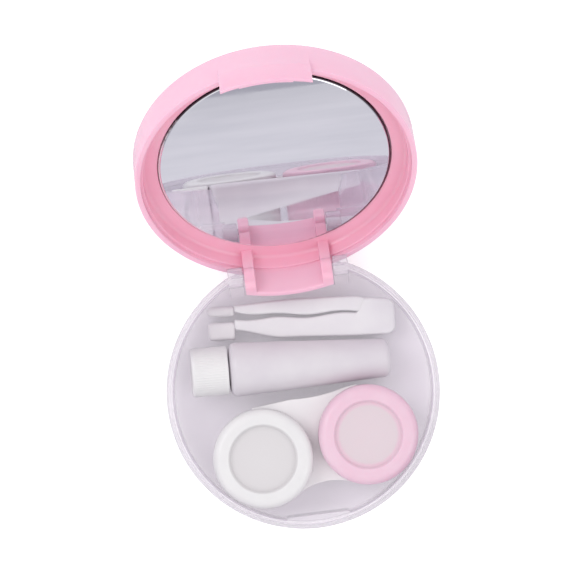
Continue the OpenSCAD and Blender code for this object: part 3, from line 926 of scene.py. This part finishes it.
def charm(o, key, sharp=40):
    """Set a charm into the resin; it is modelled on z = 0 about its own centre."""
    x, y, turn, _ = CHARMS[key]
    place = LID @ turned((x, y, RESIN_TOP - 0.02), turn)
    piece(o, f"gold_{key}", "lid", mat_gold, f"charm_{key}", place, sharp)


MOON_R = 6.0
BITE_MID, BITE_R = Vector((-3.1, 1.2)), 4.8
# waves on the crescent's inner edge, as a face: angle, width (degrees), radial shift
MOON_FACE = ((-2, 7.0, -0.75), (20, 8.0, -0.28), (-33, 6.0, -0.3), (9, 4.0, 0.2))


def build_moon():
    """Domed sections between an outer circle and an off-centre bite."""
    offset = BITE_MID.length
    facing = math.degrees(math.atan2(BITE_MID.y, BITE_MID.x))
    # the horns are where the circles meet
    cos_horn = (MOON_R * MOON_R + offset * offset - BITE_R * BITE_R) / (2 * MOON_R * offset)
    horn = math.degrees(math.acos(cos_horn))
    t0, t1 = facing - 360 + horn, facing - horn
    n, steps = 60, 14
    sections = []
    for i in range(n + 1):
        t = math.radians(t0 + (t1 - t0) * (0.004 + 0.992 * i / n))
        ray = Vector((math.cos(t), math.sin(t)))
        outer = ray * MOON_R
        b = ray.dot(BITE_MID)
        inner_r = b + math.sqrt(BITE_R * BITE_R - (BITE_MID.length_squared - b * b))
        inner_r = min(inner_r, MOON_R - 0.12)
        deg = math.degrees(t)
        for at, spread, shift in MOON_FACE:
            inner_r += shift * math.exp(-(((deg - at) / spread) ** 2))
        inner = ray * inner_r
        width = (outer - inner).length
        height = min(1.45, 0.35 + 0.42 * width)
        mid = (outer + inner) / 2
        ring = []
        for k in range(steps + 1):
            a = math.pi * k / steps
            p = mid + ray * (width / 2) * math.cos(a)
            ring.append((p.x, p.y, height * math.sin(a) ** 0.8 if 0 < k < steps else 0.0))
        ring.append((mid.x - ray.x * width * 0.3, mid.y - ray.y * width * 0.3, -0.02))
        ring.append((mid.x + ray.x * width * 0.3, mid.y + ray.y * width * 0.3, -0.02))
        sections.append(ring)
    moon = loft(sections)
    cut(moon, ball((3.3, 1.5, 1.42), 0.38, 0.9))  # the eye
    charm(moon, "moon")


def star_ring(r, waist, z):
    """Ten points of a five-pointed star; waist is the inner radius over the outer."""
    radii = [r if i % 2 == 0 else r * waist for i in range(10)]
    return [
        (q * math.cos(math.pi * i / 5), q * math.sin(math.pi * i / 5), z)
        for i, q in enumerate(radii)
    ]


def build_star():
    """A faceted star that rises to a point."""
    verts = star_ring(4.1, 0.42, 0) + star_ring(4.1, 0.42, 0.35) + star_ring(3.95, 0.42, 0.5)
    verts += [(0, 0, 1.35), (0, 0, 0)]
    faces = []
    for i in range(10):
        j = (i + 1) % 10
        faces += [(i, j, 10 + j, 10 + i), (10 + i, 10 + j, 20 + j, 20 + i)]
        faces += [(20 + i, 20 + j, 30), (j, i, 31)]
    charm(mesh_obj("star", verts, faces), "star", sharp=15)


# point radius, z: round the frame's section, from outside over the top to inside
OPEN_STAR_RINGS = (
    (5.0, 0.0), (5.0, 0.5), (4.8, 0.85), (4.4, 1.15), (3.85, 1.3),
    (3.3, 1.15), (2.9, 0.85), (2.65, 0.5), (2.65, 0.0),
)


def build_open_star():
    """A star-shaped frame with a rounded top."""
    rings = [star_ring(r, 0.46, z) for r, z in OPEN_STAR_RINGS]
    charm(loft(rings, closed=True), "open_star")


PLANET_R, PLANET_EDGE, PLANET_RISE = 5.1, 0.35, 1.25
# x, y, radius
DIMPLES = ((1.6, -1.9, 0.8), (-0.9, -3.1, 0.6), (2.9, 0.2, 0.55), (0.2, -1.0, 0.45), (2.2, 2.2, 0.5))
BAND_X, BAND_Y = 9.55, 2.15  # half axes of the band's oval
# offset across the band, share of its height
BAND_SECTION = (
    (-0.45, 0.0), (-0.45, 0.65), (-0.36, 0.85), (-0.18, 0.97), (0, 1.0),
    (0.18, 0.97), (0.36, 0.85), (0.45, 0.65), (0.45, 0.0),
)


def planet_band():
    """An oval band, raised where it crosses the dome on one side, lowered on the other."""
    sections = []
    n = 88
    for i in range(n):
        t = 2 * math.pi * i / n
        c, s = math.cos(t), math.sin(t)
        px, py = BAND_X * c, BAND_Y * s
        nx, ny = BAND_Y * c, BAND_X * s
        length = math.hypot(nx, ny)
        nx, ny = nx / length, ny / length
        over = 1 / (1 + math.exp((abs(px) - 5.0) * 3.0))
        top = 0.95 + (0.85 * over if s > 0 else -0.5 * over)
        sections.append([(px + nx * u, py + ny * u, top * w) for u, w in BAND_SECTION])
    return move(loft(sections, closed=True), Matrix.Rotation(math.radians(64.6), 4, "Z"))


def build_planet():
    """A dimpled dome with a band round it."""
    profile = [(0, 0.0), (PLANET_R, 0.0), (PLANET_R, PLANET_EDGE)]
    for k in range(1, 19):
        a = math.pi / 2 * k / 18
        r = PLANET_R * math.cos(a) if k < 18 else 0.0
        profile.append((r, PLANET_EDGE + PLANET_RISE * math.sin(a)))
    dome = lathe(profile, 96)
    for x, y, r in DIMPLES:
        h = PLANET_EDGE + PLANET_RISE * math.sqrt(max(0, 1 - (x * x + y * y) / 26.0))
        cut(dome, ball((x, y, h + r * 0.55), r, 1.0, 20, 10))
    boolean(dome, planet_band())
    charm(dome, "planet")


def burst_ray(length, width, degrees):
    """A tapered ray along +X with a ball at its end, turned by degrees."""
    sections = []
    for i in range(13):
        t = i / 12
        x = length * t
        half_w = width / 2 * (1 - 0.25 * t)
        h = 0.95 - 0.3 * t
        turns = [math.pi * k / 10 for k in range(11)]
        arch = [(x, half_w * math.cos(a), max(0.0, h * math.sin(a))) for a in turns]
        sections.append(arch + [(x, -half_w * 0.5, -0.02), (x, half_w * 0.5, -0.02)])
    parts = [loft(sections), ball((length, 0, 0.3), width * 0.62, 0.85, 16, 8)]
    return [move(p, Matrix.Rotation(math.radians(degrees), 4, "Z")) for p in parts]


def build_starburst():
    """Long and short rays that meet in a raised boss."""
    parts = []
    for i in range(4):
        parts += burst_ray(4.4, 1.15, 90 * i)
        parts += burst_ray(3.3, 0.9, 45 + 90 * i)
    parts.append(ball((0, 0, 0.35), 1.05, 0.85, 20, 10))
    charm(fuse(parts, voxel=0.07, smooth=2), "starburst")


# ---- lens holder and its caps ------------------------------------------------

# r, z, corner radius: outside with flange and two thread ridges, then the bore
WELL_PROFILE = [
    (0, CASE_FOOT), (WELL_R, CASE_FOOT, 1.0),
    (WELL_R, FLANGE_LOW, 0.25), (13.2, FLANGE_LOW, 0.2),
    (13.2, FLANGE_TOP, 0.2), (WELL_R, FLANGE_TOP, 0.1),
    (WELL_R, FLANGE_TOP + 1.2), (12.3, FLANGE_TOP + 1.5, 0.15), (WELL_R, FLANGE_TOP + 1.8),
    (WELL_R, FLANGE_TOP + 2.9), (12.3, FLANGE_TOP + 3.2, 0.15), (WELL_R, FLANGE_TOP + 3.5),
    (WELL_R, WELL_TOP, 0.3), (10.4, WELL_TOP, 0.3),
    (10.4, CASE_FOOT + 2.2, 4.0), (0, CASE_FOOT + 2.2),
]


def web_outline():
    """The plate between the wells, waisted by an arc on each long edge."""
    xs = [-WELL_PITCH / 2 + WELL_PITCH * i / 40 for i in range(41)]
    top = [(x, min(13.9, 57.2 - math.sqrt(44**2 - (x - 4) ** 2))) for x in xs]
    bottom = [
        (x, max(-12.4, -27.2 + math.sqrt(max(0, 17.2**2 - x * x)))) for x in reversed(xs)
    ]
    return top + bottom


def build_holder():
    holder = prism(web_outline(), FLANGE_LOW, FLANGE_TOP, 0.2)
    wells = [Matrix.Translation((side * WELL_PITCH / 2, 0, 0)) for side in (-1, 1)]
    for place in wells:
        cut(holder, move(lathe([(0, 0), (11.2, 0), (11.2, 20), (0, 20)], 96), place))
    for place in wells:
        boolean(holder, move(lathe(fillet(WELL_PROFILE, 8), 128), place))
    # the bar that joins the wells under the plate
    boolean(holder, box(-3.4, 3.4, -0.8, 0.8, CASE_FOOT + 1, CASE_FOOT + 6.4))
    piece(
        holder, "lens_holder_shell", "lens_holder", mat_holder,
        "lens_case_body", CASE,
    )


BORE_H = WELL_TOP - WELL_CAP_Z + 0.12
DISH_Z = WELL_CAP_H - 1.1
# r, z above the rim, corner radius
WELL_CAP_PROFILE = [
    (0, BORE_H), (12.5, BORE_H, 0.2), (12.5, 0, 0.15),
    (WELL_CAP_R, 0, 0.25), (WELL_CAP_R, 2.4), (WELL_CAP_R, 4.6), (WELL_CAP_R, WELL_CAP_H, 2.3),
    (9.4, WELL_CAP_H, 0.55), (8.75, DISH_Z, 0.45), (0, DISH_Z),
]


def build_well_caps():
    grip = flutes(80, depth=0.12, wall=WELL_CAP_R - 0.3, low=0.2, high=4.7, fade_high=0.8)
    for side, colour, centre, mat in (
        ("left", "white", left_cap, mat_white_cap),
        ("right", "pink", right_cap, mat_pink_cap),
    ):
        cap = lathe(fillet(WELL_CAP_PROFILE, 8), 480, grip)
        piece(
            cap, f"{colour}_well_cap", f"{side}_cap", mat,
            f"{side}_well_cap", Matrix.Translation((centre.x, centre.y, WELL_CAP_Z)),
        )


# ---- bottle ------------------------------------------------------------------

# r, z, corner radius: inside from the base to the mouth, then outside back to the base
BOTTLE_PROFILE = [
    (0, 53.5), (4.342, 53.5, 1.1), (5.4, 33.5), (6.569, 11.3, 1.3), (3.0, 11.3, 0.4),
    (3.0, 3.0), (4.1, 3.0, 0.15), (4.1, 4.4), (4.4, 4.65, 0.1), (4.1, 4.9), (4.1, 6.1),
    (4.4, 6.4, 0.1), (4.1, 6.7), (4.1, 10.4, 0.4), (7.516, 10.4, 2.2), (6.35, 32.5),
    (5.194, 54.4, 2.0), (0, 54.4),
]
BOTTLE_CAP_R = 6.65
BOTTLE_CAP_PROFILE = [
    (0, 1.2), (4.5, 1.2, 0.2), (4.5, 10.0, 0.15), (BOTTLE_CAP_R, 10.0, 0.3),
    (BOTTLE_CAP_R, 9.2), (BOTTLE_CAP_R, 2.0), (BOTTLE_CAP_R, 0, 0.8),
    (4.6, 0, 0.1), (4.4, 0.18, 0.1), (0, 0.18),
]


def build_bottle():
    shell = lathe(fillet(BOTTLE_PROFILE, 8), 128)
    piece(shell, "bottle_shell", "bottle", mat_bottle, "bottle_body", BOTTLE)
    grip = flutes(56, depth=0.13, wall=6.6, low=1.0, high=9.3, fade_high=0.3, fade_low=0.6)
    cap = lathe(fillet(BOTTLE_CAP_PROFILE, 6), 448, grip)
    piece(
        cap, "bottle_screw_cap", "bottle_cap", mat_bottle_cap, "bottle_cap", BOTTLE
    )


# ---- tweezers ----------------------------------------------------------------

ARM_H = 5.6
ARM_CORNER = 0.75
SLEEVE_END = 7.4  # x where the soft tips end and the bare arms start
BRIDGE_X, BRIDGE_LENGTH, BRIDGE_Y = 40.5, 3.0, 5.5  # where the slit closes towards the root
ROOT_X, ROOT_LOW, ROOT_HIGH, ROOT_R = 48.9, -4.85, 5.0, 2.4


def smoothstep(t):
    return t * t * (3 - 2 * t)


def clamp01(t):
    return max(0.0, min(1.0, t))


def upper_edge(x):
    taper = 0.9 * ((x - 36) / 10) ** 2 if x > 36 else 0
    return 5.2 + math.sin(math.pi / 2 * smoothstep(clamp01((x - 7) / 22))) - taper


def lower_edge(x):
    near_tip = 2.75 * smoothstep(clamp01((x - 6) / 15))
    return -(1.6 + near_tip + 0.5 * smoothstep(clamp01((x - 21) / 22)))


def slit_mid(x):
    return 1.6 + 0.38 * math.sin(math.radians(20 * (x - 32))) + 1.1 * clamp01((16 - x) / 8.6) ** 1.5


def slit_half(x):
    return 0.17 + 0.012 * (SQUEEZE_X - x) + 0.4 * clamp01((20 - x) / 13) ** 1.6


def slab(x, y0, y1, z0, z1, corner):
    """A rounded rectangle across the tweezers at x."""
    n = 5
    corner = min(corner, (y1 - y0) * 0.49, (z1 - z0) * 0.49)
    points = []
    for cy, cz, a0 in (
        (y1 - corner, z1 - corner, 0),
        (y0 + corner, z1 - corner, 90),
        (y0 + corner, z0 + corner, 180),
        (y1 - corner, z0 + corner, 270),
    ):
        for k in range(n + 1):
            a = math.radians(a0 + 90 * k / n)
            points.append((x, cy + corner * math.cos(a), cz + corner * math.sin(a)))
    return points


def arm_slab(x, y0, y1, trim=0.0):
    return slab(x, y0, y1, trim, ARM_H - trim, ARM_CORNER)


def tongue(y0, y1):
    """The thin end of an arm, inside its soft tip."""
    return [
        slab(1.6, y0 + 0.3, y1 - 0.3, 1.0, ARM_H - 1.0, 0.3),
        slab(1.9, y0, y1, 0.7, ARM_H - 0.7, 0.4),
        slab(SLEEVE_END - 0.04, y0, y1, 0.7, ARM_H - 0.7, 0.4),
    ]


def stations(end):
    x = SLEEVE_END + 0.3
    while x < end:
        yield x
        x += 1.0


def build_lower_arm():
    """The lower (-Y) arm, with the root that joins both arms."""
    sections = tongue(-1.45, 0.25)
    x = SLEEVE_END
    top = slit_mid(x) - slit_half(x) - 0.25
    sections.append(arm_slab(x - 0.02, lower_edge(x) + 0.25, top, 0.25))
    for x in stations(BRIDGE_X):
        sections.append(arm_slab(x, lower_edge(x), slit_mid(x) - slit_half(x)))
    for k in range(9):
        x = BRIDGE_X + BRIDGE_LENGTH * k / 8
        g = smoothstep(k / 8)
        top = (slit_mid(x) - slit_half(x)) * (1 - g) + BRIDGE_Y * g
        sections.append(arm_slab(x, lower_edge(x), top))
    bridge_end = BRIDGE_X + BRIDGE_LENGTH
    for k in range(1, 5):
        x = bridge_end + (ROOT_X - bridge_end) * k / 4
        top = BRIDGE_Y + (ROOT_HIGH - BRIDGE_Y) * smoothstep(k / 4)
        sections.append(arm_slab(x, ROOT_LOW, top))
    for k in range(1, 13):
        a = math.radians(7.5 * k)
        d = ROOT_R * (1 - math.cos(a))
        trim = 0.55 * (1 - math.cos(a)) ** 2
        sections.append(arm_slab(ROOT_X + ROOT_R * math.sin(a), ROOT_LOW + d, ROOT_HIGH - d, trim))
    piece(
        loft(sections), "tweezer_arm_lower", "tweezers", mat_tweezers,
        "tweezer_lower_arm", TWEEZERS, sharp=40,
    )


def build_upper_arm():
    """The upper (+Y) arm."""
    sections = tongue(3.3, 4.3)
    x = SLEEVE_END + 0.02
    sections.append(arm_slab(x, slit_mid(x) + slit_half(x) + 0.2, upper_edge(x) - 0.2, 0.25))
    for x in stations(45.2):
        top = min(upper_edge(x), 5.45 + 0.4 * max(0, SQUEEZE_X - x))
        top -= 0.15 * clamp01((x - 42) / 3)
        bottom = slit_mid(x) + max(0.02, slit_half(x))
        sections.append(arm_slab(x, bottom, top, 0.12 * clamp01((x - 41) / 4)))
    upper = loft(sections)
    to_metres(upper, TWEEZERS)
    dress(upper, "tweezer_arm_upper", mat_tweezers.material, sharp=40)
    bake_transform(upper)
    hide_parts("tweezer_upper_arm")


def build_soft_tip(y0, y1, side, body):
    """A soft sleeve over an arm's end, rounded at the tip."""
    h = ARM_H + 0.2
    sections = []
    for k in range(7):
        a = math.pi / 2 * k / 6
        d = 1.1 * (1 - math.sin(a))
        x = 1.2 * (1 - math.cos(a))
        sections.append(slab(x, y0 + d, y1 - d, d * 0.7, h - d * 0.7, 1.0))
    for x in (2.0, 3.0, 4.2, 5.4, 6.4):
        sections.append(slab(x, y0, y1, 0, h, 1.0))
    for k in range(1, 5):
        a = math.pi / 2 * k / 4
        d = 0.6 * (1 - math.cos(a))
        x = SLEEVE_END - 0.6 + 0.6 * math.sin(a)
        sections.append(slab(x, y0 + d, y1 - d, d, h - d, 1.0))
    piece(
        loft(sections), f"soft_tip_{side}", body, mat_tip,
        f"tweezer_{side}_tip", TWEEZERS, sharp=40,
    )


# ---- build -------------------------------------------------------------------

build_tray()
build_lid()
build_mirror()
build_resin()
build_glitter()
build_moon()
build_star()
build_open_star()
build_planet()
build_starburst()
build_holder()
build_well_caps()
build_bottle()
build_lower_arm()
build_upper_arm()
build_soft_tip(-4.2, 0.7, "lower", "tweezers")
build_soft_tip(2.3, 5.0, "upper", "tweezer_upper")

# CAD pieces that are kept and only get a material
for node, mat in (("mirror_pad", mat_pad), ("bottle_plug", mat_plug)):
    kept = frame["nodes"][node].data.materials
    kept.clear()
    kept.append(mat.material)

# ---- studio, in metres -------------------------------------------------------

FLOOR_HALF, FLOOR_Z, FLOOR_CELLS = 3.0, -0.0001, 12


def build_floor():
    """White paper that mirrors and glossy plastic see as grey."""
    n, row = FLOOR_CELLS, FLOOR_CELLS + 1
    ticks = [-FLOOR_HALF + 2 * FLOOR_HALF * i / n for i in range(row)]
    mesh = bpy.data.meshes.new("floor")
    mesh.from_pydata(
        [(x, y, FLOOR_Z) for y in ticks for x in ticks],
        [],
        [
            (j * row + i, j * row + i + 1, (j + 1) * row + i + 1, (j + 1) * row + i)
            for j in range(n)
            for i in range(n)
        ],
    )
    floor = add_object("floor", mesh)
    paper = bpy.data.materials.new("floor_paper")
    m = Nodes(paper)
    mottle = m.add("TexNoise", {"Scale": 3.0}).outputs["Fac"]
    white = m.mix(mottle, (0.93, 0.93, 0.93, 1), (0.95, 0.95, 0.95, 1))
    reflected = (0.425, 0.42, 0.465, 1)
    m.set(
        "Principled BSDF",
        Roughness=0.9,
        Specular_IOR_Level=0.1,
        Emission_Color=(1, 1, 1, 1),
        Emission_Strength=0.26,
        Base_Color=m.mix(m.glossy_ray(), white, reflected),
    )
    mesh.materials.append(paper)


def build_world():
    """Even white light; reflections see a gradient that brightens upwards."""
    world = bpy.data.worlds.new("studio")
    scene.world = world
    w = Nodes(world)
    direction = w.add("TexCoord").outputs["Generated"]
    height = w.add("SeparateXYZ", {0: direction}).outputs["Z"]
    sky = w.ramp(
        height,
        [(0.0, (0.47, 0.465, 0.52, 1)), (0.25, (0.63, 0.63, 0.68, 1)), (0.75, 1.0)],
    )
    white = (1.0, 1.0, 1.0, 1)
    w.set("Background", Color=w.mix(w.glossy_ray(), white, sky), Strength=0.99)


def area_light(name, place, size, power):
    data = bpy.data.lights.new(name, "AREA")
    data.shape = "SQUARE"
    data.size = size
    data.energy = power
    o = add_object(name, data)
    o.location = place
    aim = Vector((0, 0.02, 0)) - Vector(place)
    o.rotation_euler = aim.to_track_quat("-Z", "Y").to_euler()


CAMERA_TURN = math.radians(-7.2)  # about the vertical
CAMERA_HEIGHT = 0.9
CAMERA_X, CAMERA_Y = -0.008, 0.019
VIEW_WIDTH = 0.158  # width seen at z = 0
SENSOR_WIDTH = 36.0


def build_camera():
    """Looks straight down; the lens is shifted to centre the CAD pieces in the view."""
    right = Vector((math.cos(CAMERA_TURN), math.sin(CAMERA_TURN), 0))
    up = Vector((-math.sin(CAMERA_TURN), math.cos(CAMERA_TURN), 0))
    back = Vector((0, 0, 1))
    eye = Vector((CAMERA_X, CAMERA_Y, 0)) + Vector((0, 0, CAMERA_HEIGHT))
    data = bpy.data.cameras.new("cam")
    data.sensor_width = SENSOR_WIDTH
    data.lens = SENSOR_WIDTH * CAMERA_HEIGHT / VIEW_WIDTH
    data.clip_start = 0.01
    data.clip_end = 20
    across, along = [], []
    for node in frame["nodes"].values():
        # every seventh vertex, projected onto z = 0
        for vertex in list(node.data.vertices)[::7]:
            q = vertex.co - eye
            k = CAMERA_HEIGHT / -q.z
            across.append(q.dot(right) * k)
            along.append(q.dot(up) * k)
    data.shift_x = (min(across) + max(across)) / 2 / VIEW_WIDTH
    data.shift_y = (min(along) + max(along)) / 2 / VIEW_WIDTH
    camera = add_object("cam", data)
    axes = Matrix((right, up, back)).transposed().to_4x4()
    camera.matrix_world = Matrix.Translation(eye) @ axes
    scene.camera = camera


build_floor()
build_world()
area_light("key", (-0.55, 0.35, 0.85), size=0.5, power=2.6)
area_light("fill", (0.6, -0.4, 0.8), size=0.6, power=1.2)
scene.view_settings.view_transform = "Standard"
scene.view_settings.look = "None"
build_camera()
